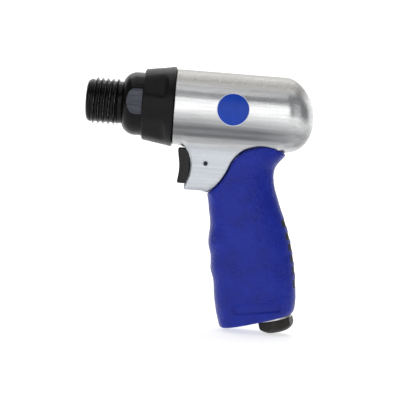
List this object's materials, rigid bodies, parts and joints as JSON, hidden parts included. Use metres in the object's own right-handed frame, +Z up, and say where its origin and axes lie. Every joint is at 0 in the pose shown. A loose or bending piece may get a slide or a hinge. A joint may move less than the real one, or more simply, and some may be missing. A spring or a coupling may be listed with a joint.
{
  "type": "pneumatic air hammer",
  "caption": "Pistol-grip air hammer with a threaded nose, chisel bore, sliding trigger, ribbed rubber grip and an air inlet bushing at the handle's foot.",
  "frame": {"origin": "on the barrel axis where the straight wall of the chisel bore begins at the nose", "axes": "-X along the barrel towards the chisel, +Z up, the handle hangs towards -Z"},
  "size_m": [0.1497, 0.0522, 0.1699],
  "materials": {
    "body": "buffed cast aluminium, satin",
    "steel": "blackened steel, bare on the spanner flats",
    "collar": "moulded, satin",
    "spring_steel": "oiled spring steel",
    "seal": "nitrile rubber",
    "valve_steel": "ground steel",
    "trigger": "glossy black",
    "brass": "turned",
    "grip": "blue rubber, semi-gloss, finely pebbled",
    "fitting": "phosphated steel",
    "washer": "bright",
    "badge": "blank blue film badge"
  },
  "bodies": {
    "housing_group": {"housing": "body", "cylinder": "steel", "front_collar": "collar", "collar_retaining_ring": "spring_steel", "lock_washer": "spring_steel", "cylinder_o_ring": "seal", "front_valve_seat": "valve_steel", "rear_valve_seat": "valve_steel", "valve_dowel_pin": "spring_steel", "valve_wave_washer": "spring_steel", "trigger_pin": "spring_steel", "throttle_bushing": "brass", "throttle_spring": "spring_steel", "grip_sleeve": "grip", "inlet_bushing": "fitting", "inlet_washer": "washer", "bushing_o_ring": "seal", "inlet_strainer": "washer", "side_badge": "badge"},
    "trigger": {"trigger": "trigger"},
    "throttle": {"throttle_valve": "brass", "throttle_seal": "seal"},
    "piston": {"piston": "valve_steel"},
    "valve_disc": {"valve_disc": "valve_steel"}
  },
  "joints": [
    {"name": "trigger_pull", "type": "slide", "parent": "housing_group", "child": "trigger", "axis": [1, 0, 0], "range_m": [0, 0.004], "stiffness_N_per_m": 1500, "springref_m": -0.004},
    {"name": "throttle_lift", "type": "slide", "parent": "housing_group", "child": "throttle", "axis": [1, 0, 0], "range_m": [0, 0.004], "stiffness_N_per_m": 500, "springref_m": -0.002, "deforming": ["throttle_spring"]},
    {"name": "piston_stroke", "type": "slide", "parent": "housing_group", "child": "piston", "axis": [1, 0, 0], "range_m": [0, 0.041]},
    {"name": "valve_disc_shift", "type": "slide", "parent": "housing_group", "child": "valve_disc", "axis": [1, 0, 0], "range_m": [0, 0.0008]}
  ],
  "couplings": [
    {"joint": "throttle_lift", "follows": "trigger_pull", "ratio": 1}
  ]
}
